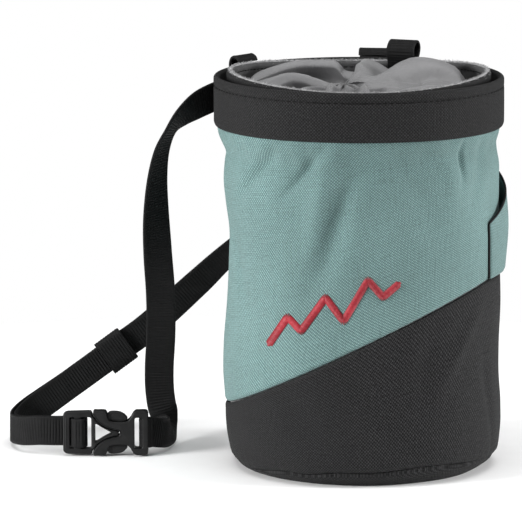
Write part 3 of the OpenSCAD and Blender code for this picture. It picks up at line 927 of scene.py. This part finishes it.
def make_body(teal, charcoal):
    top = 181.0
    share = np.linspace(0, 1, 150)[:, None]
    seam = seam_at(AROUND)[None, :]
    z = seam + 0.25 + share * (top - seam - 0.25)
    pucker = 0.12 * np.cos(np.radians(AROUND) * 70)[None, :] * np.exp(-(z - seam) / 4)
    upper = surface(AROUND[None, :], z, rolled(z - seam, 1.0, 1.3) + pucker)
    piece = thicken(cloth("teal_body", upper, teal, ring=True), 0.9)
    finish_piece(piece, "bag", "teal_canvas", "upper_shell")
    low = base_seam_at(AROUND)[None, :]
    z = low + 0.2 + share * (seam - low - 0.45)
    edge = rolled(seam - z, 0.8, 1.1) + rolled(z - low, 1.1, 1.3)
    pucker = 0.12 * np.cos(np.radians(AROUND) * 60)[None, :] * np.exp(-(z - low) / 4)
    lower = surface(AROUND[None, :], z, edge + pucker + 0.15)
    piece = thicken(cloth("charcoal_body", lower, charcoal, ring=True), 0.9)
    finish_piece(piece, "bag", "charcoal_canvas", "lower_shell")


def make_base(charcoal):
    """The base cup: up from the ground to the seam, with the floor inside its edge."""
    seam = base_seam_at(AROUND)
    rows = []
    for share in np.linspace(0, 1, 12):
        z = seam * (1 - share ** 1.5) - 0.2 * (1 - share)
        z = np.maximum(z, 0.0)
        out = rolled(seam - z, 1.1, 1.2) - 0.8 - 5.5 * share ** 3
        rows.append(surface(AROUND, z, out))
    edge = rows[-1].copy()
    middle = edge.mean(0)
    middle[2] = 0
    for share in np.linspace(0.04, 1, 24)[:-1]:
        row = edge + (middle - edge) * share
        lift = 0.5 * math.sin(math.pi * share) ** 2 * (0.6 + 0.4 * np.sin(np.radians(AROUND) * 5))
        row[:, 2] = 0.25 * lift
        rows.append(row)
    rows.append(np.repeat(middle[None], len(AROUND), 0) + 0.2 * unit(edge - middle))
    points = np.array(rows)
    flat = np.stack([points[..., 0], points[..., 1]], -1)
    flat = np.concatenate([flat, flat[:, :1]], 1)
    piece = grid("base_cup", points[:, ::-1], flat[:, ::-1], charcoal, ring=True)
    thicken(piece, 0.8)
    return finish_piece(piece, "bag", "charcoal_canvas", "base_panel")


def make_liner(pile_cloth):
    rows = []
    for z in np.concatenate([np.linspace(178, 20, 80), np.linspace(18, 6, 7)]):
        curl = 8.0 * np.clip((20 - z) / 16, 0, 1) ** 2
        rows.append(surface(AROUND, np.full(AROUND.shape, z), -2.6 - curl
                            - 0.8 * np.clip((z - 165) / 10, 0, 1)))
    edge = rows[-1].copy()
    middle = edge.mean(0)
    middle[2] = 4.4
    for share in np.linspace(0.06, 0.99, 18):
        row = edge + (middle - edge) * share
        row[:, 2] = 4.4 + (edge[:, 2] - 4.4) * (1 - min(share * 6, 1))
        rows.append(row)
    points = np.array(rows)
    piece = cloth("fleece_lining", points, pile_cloth, ring=True)
    thicken(piece, 0.8, 1)
    return finish_piece(piece, "bag", "fleece", "fleece_liner")


# ---------------------------------------------------------------- rim, pocket and ridge

# Angles of the points along a seam that runs all the way round
SEAM_ANGLES = np.radians(np.arange(0, 360.5, 0.5))


def around(angles, r, z):
    """Points at r from the bag's axis and at height z, at the given angles round it."""
    return np.stack([r * np.cos(angles), r * np.sin(angles), z + 0 * angles], -1)


def fold_over(crown, half, height, step):
    """The half circle in which cloth folds over an edge, from its outside to its inside."""
    return [[crown + half * math.cos(a), height + half * math.sin(a)]
            for a in np.radians(np.arange(step, 180, step))]


def turned(section, waviness):
    """Points of a closed section carried round the bag. waviness(angle, r, z) moves them."""
    section = np.asarray(section, float)
    turn = np.radians(AROUND)[None, :]
    r = np.repeat(section[:, :1], len(AROUND), 1)
    z = np.repeat(section[:, 1:], len(AROUND), 1)
    r, z = waviness(turn, r, z)
    return around(turn, r, z)


def make_rim(cloth_material, stitch):
    fold_in = 69.3
    crown = (rim_r + fold_in) / 2
    half = (rim_r - fold_in) / 2
    top = rim_top - half
    outer = [[rim_r, z] for z in np.linspace(band_bottom, top, 34)]
    over = fold_over(crown, half, top, 10)
    inner = [[fold_in, z] for z in np.linspace(top, 177.5, 14)]
    back = [[fold_in + 0.16, 177.5], [fold_in + 0.16, 194.9], [rim_r - 1.3, 194.9]]
    back += [[rim_r - 1.15, z] for z in np.linspace(192, band_bottom, 6)]
    section = np.array(outer + over + inner + back)
    outside = section[:, 0] > rim_r - 0.5
    stitch_z = rim_top - 5
    groove = 0.4 * np.exp(-((section[:, 1] - stitch_z) / 0.75) ** 2) * outside
    hem = 0.5 * np.exp(-((section[:, 1] - band_bottom) / 0.7) ** 2) * outside
    section[:, 0] -= groove + hem

    def slightly_uneven(turn, r, z):
        soft = 0.18 * np.sin(5 * turn + 0.6) + 0.1 * np.sin(11 * turn + z / 9)
        puckers = 0.07 * np.cos(63 * turn) * np.exp(-((z - stitch_z) / 3) ** 2)
        low = np.clip((rim_top - z) / 20, 0, 1)
        return r + (soft * low + puckers) * (r > fold_in + 1.9), z + 0.12 * np.sin(3 * turn) * low

    points = turned(section, slightly_uneven)
    piece = cloth("rim_cloth", points, cloth_material, ring=True, tube=True)
    finish_piece(piece, "bag", "band_cloth", "rim_band")
    line = around(SEAM_ANGLES, rim_r - 0.36 + 0.045 * np.sin(5 * SEAM_ANGLES + 0.6), stitch_z)
    out = around(SEAM_ANGLES, 0.16, 0)
    seams = stitch_line("rim_topstitch", line, out, 2.5, 1.0, 0.27, stitch)
    finish_piece(seams, "bag", "black_webbing")


# The pocket's front and back edges, as angles round the bag
POCKET_FRONT = -27.0
POCKET_BACK = 74.0


def pocket_mouth(angle):
    """Height of the pocket's mouth, rising to the back."""
    y = 69 * np.sin(np.radians(angle))
    return 138.2 + y * math.tan(math.radians(20))


def pocket_out(angle, z):
    """How far the pocket stands off the bag: on its edges it lies flat."""
    side = (np.clip((angle - POCKET_FRONT) / 30, 0, 1)
            * np.clip((POCKET_BACK - angle) / 30, 0, 1))
    mouth = pocket_mouth(angle)
    high = np.clip(1 - np.abs(z - (mouth - 14)) / 42, 0, 1)
    return 1.35 + 3.4 * np.sin(side * math.pi / 2) * high * high * (3 - 2 * high)


def make_pocket(teal, edge_cloth):
    angles = np.linspace(POCKET_FRONT, POCKET_BACK, 110)
    share = np.linspace(0, 1, 70)[:, None]
    bottom = seam_at(angles)[None, :] + 0.6
    top = pocket_mouth(angles)[None, :]
    z = bottom + share * (top - bottom)
    turn = np.repeat(angles[None, :], 70, 0)
    near = np.minimum(turn - POCKET_FRONT, POCKET_BACK - turn) * 1.2
    edge = rolled(near, 0.5, 0.9) + rolled(z - bottom, 0.6, 1.0)
    points = surface(turn, z, pocket_out(turn, z) + edge)
    piece = thicken(cloth("pocket_patch", points, teal), 0.9)
    finish_piece(piece, "bag", "teal_canvas", "side_pocket")
    stands = pocket_out(angles, pocket_mouth(angles))
    mouth = surface(angles, pocket_mouth(angles) + 0.3, stands - 0.45)
    # Along the mouth the cord is the black binding. Down the front edge it is a dark cord laid where
    # the turned edge is in shadow: painted shade.
    low = np.linspace(pocket_mouth(POCKET_FRONT) - 1, seam_at(np.array([POCKET_FRONT]))[0] + 1, 40)
    front = surface(np.full(40, POCKET_FRONT - 0.3), low, np.full(40, 0.5))
    line = np.concatenate([front[::-1], mouth])
    piping = tube("pocket_edge", line, 0.55, edge_cloth)
    finish_piece(piping, "bag", "black_webbing", "pocket_binding")


def tube(name, line, radius, material):
    """A round cord or piping along a line."""
    line, _ = even(line, 0.5)
    ahead = unit(np.gradient(line, axis=0))
    helper = np.array([0.3, 0.2, 1.0])
    first = unit(np.cross(ahead, helper))
    second = np.cross(ahead, first)
    sides = 10
    turn = np.arange(sides) * 2 * math.pi / sides
    ring = np.cos(turn)[None, :, None] * first[:, None] + np.sin(turn)[None, :, None] * second[:, None]
    points = line[:, None] + radius * ring
    return cloth(name, points, material, ring=True, capped=True)


def make_ridge(red):
    """The stitched ridge line: satin stitches laid side by side across its path."""
    path = np.array([[-45, 69], [-35.5, 84.5], [-29, 78], [-17.5, 95.5], [-8.5, 84], [3.5, 104.5],
                     [11, 96], [19.5, 103]], float)
    line, along = even(path, 0.36)
    ahead = np.gradient(line, axis=0)
    kernel = np.hanning(9)
    kernel = kernel / kernel.sum()
    padded = np.pad(ahead, ((4, 4), (0, 0)), mode="edge")
    ahead = unit(np.stack([np.convolve(padded[:, k], kernel, "valid") for k in (0, 1)], 1))
    side = np.stack([-ahead[:, 1], ahead[:, 0]], 1)
    taper = np.clip(np.minimum(along, along[-1] - along) / 1.2, 0.35, 1)[:, None]
    half = 1.9 * taper

    def on_cloth(flat, out):
        turn = np.degrees(np.arcsin(np.clip((flat[:, 0] - wave(flat[:, 1], LEAN)) / 68.8, -1, 1))) - 90
        return surface(turn, flat[:, 1], out)

    a = on_cloth(line - side * half, 0.12)
    b = on_cloth(line + side * half, 0.12)
    normal = unit(((a + b) / 2) * [1, 1, 0])
    lift = (0.75 + 0.1 * np.sin(along * 2.3))[:, None] * normal * taper
    piece = beads("stitched_ridge", a, b, 0.25, red, bend=lift, sides=6)
    return finish_piece(piece, "bag", "red_thread", "embroidered_motif")


# ---------------------------------------------------------------- mouth

RING_IN = ring_r - 3.7
# Sectors in each layer of the closure, and the sideways place of the middle of the twist
PIECES_ROUND = 16
TWIST_X = -7
# Folds of the twisted cloth, in the order in which each runs inwards: its crest as points
# (x, y, height), how wide it is on its left and its right, and how far its right side curls under
MOUTH_FOLDS = [
    ([[-60, 0, 4], [-54, 14, 9], [-42, 27, 12.5], [-22, 34, 14], [-7, 31, 13.5], [1, 19, 11],
      [-7, 0, 3]], 11.0, 7.0, 9.5),
    ([[-58, -20, 4], [-49, -8, 9], [-37, 3, 12.5], [-26, 4, 11.5], [-17, 0, 8], [-7, 0, 3]],
     4.5, 5.2, 7.5),
    ([[6, 60, 9], [3, 38, 12.5], [-2, 14, 9.5], [-7, 0, 3]], 13.0, 3.6, 4.5),
    ([[-4, 3, 3], [13, 11, 9], [27, 23, 14.5], [41, 21, 13], [53, 15, 7], [61, 11, 0]], 8.0, 17.0, 0.0),
    ([[-15, -44, 6], [-14, -22, 9], [-7, 0, 3]], 3.4, 2.6, 2.6),
    ([[-40, -42, 3], [-28, -27, 8], [-15, -9, 7], [-7, 0, 3]], 5.0, 7.0, 0.0),
    ([[6, -30, 4], [33, -30, 7], [52, -18, 2]], 14.0, 14.0, 0.0),
    ([[3, -46, 5.5], [2, -24, 8], [-4, -6, 3]], 2.6, 3.6, 2.2),
    ([[26, -52, 3], [18, -32, 7], [4, -10, 4]], 6.0, 4.0, 1.5),
    ([[22, 56, 5], [16, 34, 6], [4, 12, 4]], 5.0, 5.0, 1.0)]
# Hollows between the folds, each as its deepest line (x, y, depth) and how wide it is
MOUTH_HOLLOWS = [
    ([[-50, -24, -4], [-38, -8, -9], [-27, -5, -8], [-18, -8, -3]], 6.0),
    ([[-48, 6, -3], [-36, 16, -6], [-20, 18, -6], [-9, 11, -3]], 4.0),
    ([[-24, -34, -3], [-19, -20, -6], [-12, -8, -3]], 2.4),
    ([[-4, 44, -3], [-6, 24, -7], [-8, 10, -4]], 4.0),
    ([[12, -46, -3], [9, -24, -5], [0, -8, -2]], 2.2),
    ([[58, 30, -3], [44, 34, -4], [32, 36, -3]], 5.0),
    ([[62, 16, -5], [58, 2, -7], [52, -10, -5]], 6.0),
    ([[50, 6, -2.5], [38, 10, -3.5], [22, 6, -2]], 3.0)]


def beside(line, x, y):
    """Signed distance from a line, more than 0 on its left, its height there, and which way is left."""
    dense, _ = even(smooth(line, 6), 0.7)
    ahead = unit(np.gradient(dense[:, :2], axis=0))
    nearest = np.hypot(x[..., None] - dense[:, 0], y[..., None] - dense[:, 1]).argmin(-1)
    away_x = x - dense[nearest, 0]
    away_y = y - dense[nearest, 1]
    way = ahead[nearest]
    side = way[..., 0] * away_y - way[..., 1] * away_x
    far = np.hypot(away_x, away_y) * np.where(side < 0, -1, 1)
    left = np.stack([-way[..., 1], way[..., 0]], -1)
    return far, dense[nearest, 2], left


def folded(x, y):
    """The twisted cloth's height over its middle level, and how far it curls sideways."""
    high = np.zeros(x.shape)
    shift = np.zeros((*x.shape, 2))
    for line, left_half, right_half, curl in MOUTH_FOLDS:
        far, height, left = beside(line, x, y)
        part = height * np.exp(-(far / np.where(far > 0, left_half, right_half)) ** 2)
        high = np.log(np.exp(high * 0.7) + np.exp(part * 0.7) - 1) / 0.7
        under = np.clip((-far - 0.5 * right_half) / (1.8 * right_half), 0, 1)
        push = curl * np.sin(math.pi * under) * np.clip(height / 10, 0, 1)
        shift = shift + push[..., None] * left
    low = np.zeros(x.shape)
    for line, half in MOUTH_HOLLOWS:
        far, depth, _ = beside(line, x, y)
        low = np.minimum(low, depth * np.exp(-(far / half) ** 2))
    return high + low, shift


def make_closure(nylon):
    """The twisted cloth, cut into sectors round the mouth."""
    turn = np.radians(AROUND)[None, :]
    share = np.linspace(0, 1, 90)[:, None]
    centre_x = TWIST_X * share
    cloth_r = RING_IN - 0.25
    cloth_z = 187
    r = cloth_r * (1 - share)
    x = centre_x + r * np.cos(turn)
    y = r * np.sin(turn)
    from_edge = cloth_r * share
    inside = np.clip(from_edge / 9, 0, 1)
    inside = inside * inside * (3 - 2 * inside)
    high, shift = folded(x, y)
    far = np.hypot(x - TWIST_X, y)
    swirl = 1.3 * np.exp(-(far / 17) ** 2) * np.sin(9 * turn + 0.2 * far) * np.clip(far / 6, 0, 1)
    swirl = swirl + 0.45 * np.sin(7 * turn + 0.11 * far) * np.clip(far / 20, 0, 1) * inside
    gathers = 0.5 * np.cos(46 * turn + 2 * np.sin(5 * turn)) * np.exp(-(from_edge / 6) ** 2)
    level = cloth_z + 0.035 * x
    z = cloth_z * (1 - inside) + inside * (level + high) + swirl + gathers * np.clip(from_edge, 0, 1)
    z = z - 1.5 * np.exp(-(far / 3) ** 2)
    upper = np.stack([x + inside * shift[..., 0], y + inside * shift[..., 1], z], -1)
    sectors("mouth_upper", upper, nylon, "twist_ring", "closure_upper")
    r = 67.5 * (1 - share) + 1.5 * share
    x = centre_x + r * np.cos(turn)
    y = r * np.sin(turn)
    pleats = np.cos(18 * turn + 5 * share) * np.sin(math.pi * share)
    z = 172.5 + 3 * share ** 0.7 + pleats
    lower = np.stack([x, y, z], -1)
    sectors("mouth_lower", lower, nylon, "bag", "closure_lower")


def sectors(name, points, nylon, body, node):
    """Cuts a round cloth into sectors, each its own piece on the given body."""
    each = len(AROUND) // PIECES_ROUND
    middle_r = 40
    lengths = np.stack(np.meshgrid(np.radians(AROUND) * middle_r, np.linspace(0, 62, len(points))), -1)
    for k in range(PIECES_ROUND):
        pick = [(k * each + j) % len(AROUND) for j in range(each + 1)]
        flat = lengths[:, pick].copy()
        flat[:, -1, 0] = flat[:, -2, 0] + middle_r * math.radians(AROUND[1])
        piece = grid(f"{name}_{k + 1:02d}", points[:, pick][::-1], flat[::-1], nylon)
        finish_piece(piece, body, "grey_nylon", node)
        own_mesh(piece)


def ring_rise(turn):
    """The ring is sprung a little out of flat: high at its sides, low at front and back."""
    return 1.2 + 1.7 * np.cos(2 * turn)


def make_ring(lining, band, stitch, fuzz):
    top = rim_top - 0.4
    seam_z = rim_top - 3.6
    half = (ring_r - RING_IN) / 2
    crown = (ring_r + RING_IN) / 2
    outer = [[ring_r, z] for z in np.linspace(ring_bottom, top - half, 12)]
    over = fold_over(crown, half, top - half, 15)
    inner = [[RING_IN, z] for z in np.linspace(top - half, ring_bottom, 16)]
    under = [[RING_IN + 1.2, ring_bottom - 0.2], [ring_r - 1.2, ring_bottom - 0.2]]
    section = np.array(outer + over + inner + under)

    def sprung(turn, r, z):
        high = np.clip((z - ring_bottom) / 9, 0, 1)
        seam = 0.25 * np.exp(-((z - seam_z) / 0.6) ** 2)
        inside = r < crown - 0.5
        ripple = 0.14 * np.sin(31 * turn + z) * high
        return r + inside * (seam + ripple), z + ring_rise(turn) * high

    points = turned(section, sprung)
    # Faces inside the ring take the darkened nylon, painted shade; the outside and the outer part of
    # the top roll take the band cloth.
    piece = cloth("ring_casing", points, [lining, band], ring=True, tube=True)
    columns = len(AROUND)
    rows_out = len(outer) + 5
    piece.data.polygons.foreach_set(
        "material_index", [1 if n // columns < rows_out else 0
                           for n in range(len(piece.data.polygons))])
    finish_piece(piece, "twist_ring", "grey_nylon", "twist_ring_casing")
    rise = ring_rise(SEAM_ANGLES)
    line = around(SEAM_ANGLES, RING_IN + 0.05, seam_z + rise)
    out = around(SEAM_ANGLES, -0.16, 0)
    seams = stitch_line("ring_topstitch", line, out, 2.2, 0.9, 0.26, stitch)
    finish_piece(seams, "twist_ring", "black_webbing")
    roll = around(SEAM_ANGLES, crown - 0.1, top - 0.35 + rise)
    roll_piece = fuzzy_roll("ring_edge_roll", roll[:-1], 0.7, fuzz)
    finish_piece(roll_piece, "twist_ring", "fleece")
    random = np.random.default_rng(7)
    count = 4200
    a = random.uniform(0, 2 * math.pi, count)
    spread = random.normal(0, 0.8, count)
    root = around(a, crown + spread * 0.6, top + 0.35 - 0.3 * spread ** 2 + ring_rise(a))
    lean = random.normal(0, 0.32, (count, 3)) + np.array([0, 0, 0.3])
    lean += spread[:, None] * 0.35 * np.stack([np.cos(a), np.sin(a), 0 * a], 1)
    tips = beads("ring_pile", root, root + lean, 0.075, fuzz, sides=3)
    finish_piece(tips, "twist_ring", "fleece")


def fuzzy_roll(name, line, radius, material):
    """The soft rolled edge on the ring, uneven like brushed cloth."""
    count = len(line)
    random = np.random.default_rng(3)
    rough = random.normal(0, 0.10, (count, 12))
    turn = np.radians(np.arange(0, 360, 30))
    away = unit(line * [1, 1, 0])
    up = np.array([0, 0, 1.0])
    size = radius + rough
    points = (line[:, None] + size[..., None] * (np.cos(turn)[None, :, None] * away[:, None]
                                                 + np.sin(turn)[None, :, None] * up))
    return cloth(name, points.transpose(1, 0, 2)[::-1], material, ring=True, tube=True)


# ---------------------------------------------------------------- the whole object


def make_floor():
    mesh = bpy.data.meshes.new("floor")
    turn = np.radians(np.arange(0, 360, 3))
    disc = np.stack([FLOOR_RADIUS * np.cos(turn) + FLOOR_X, FLOOR_RADIUS * np.sin(turn), 0 * turn], 1)
    mesh.from_pydata(disc.tolist(), [], [tuple(range(len(disc)))])
    floor = bpy.data.objects.new("floor", mesh)
    mesh.materials.append(studio_floor())
    bpy.context.scene.collection.objects.link(floor)


def make_all():
    make_camera()
    webbing_cloth = black_webbing()
    belt = make_belt(webbing_cloth)
    wraps = make_short_straps(webbing_cloth)
    keeper = make_keeper(webbing_cloth)
    plastic = black_plastic()
    socket = make_socket(plastic)
    plug = make_plug(plastic)
    latches = [make_latch(plastic, "upper_latch", "latch_upper", "latch_arm_upper", 1),
               make_latch(plastic, "lower_latch", "latch_lower", "latch_arm_lower", -1)]
    make_lights()
    make_floor()
    teal = teal_canvas()
    charcoal = charcoal_canvas()
    band = band_cloth()
    nylon = grey_nylon()
    lining = ring_lining()
    soft = fleece()
    fuzz = pile()
    black_thread = thread("black_thread", (0.001, 0.001, 0.001), (0.004, 0.004, 0.004), 0.1)
    red = thread("red_thread", (0.17, 0.006, 0.013), (0.36, 0.024, 0.036), 0.35)
    make_body(teal, charcoal)
    make_base(charcoal)
    make_liner(soft)
    make_rim(band, black_thread)
    make_pocket(teal, webbing_cloth)
    make_ridge(red)
    make_ring(lining, band, black_thread, fuzz)
    make_closure(nylon)
    hidden = board()
    for node in ("base_stiffener", "rim_stiffener", "twist_ring_core"):
        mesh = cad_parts[node].data
        mesh.materials.clear()
        mesh.materials.append(hidden)


make_all()
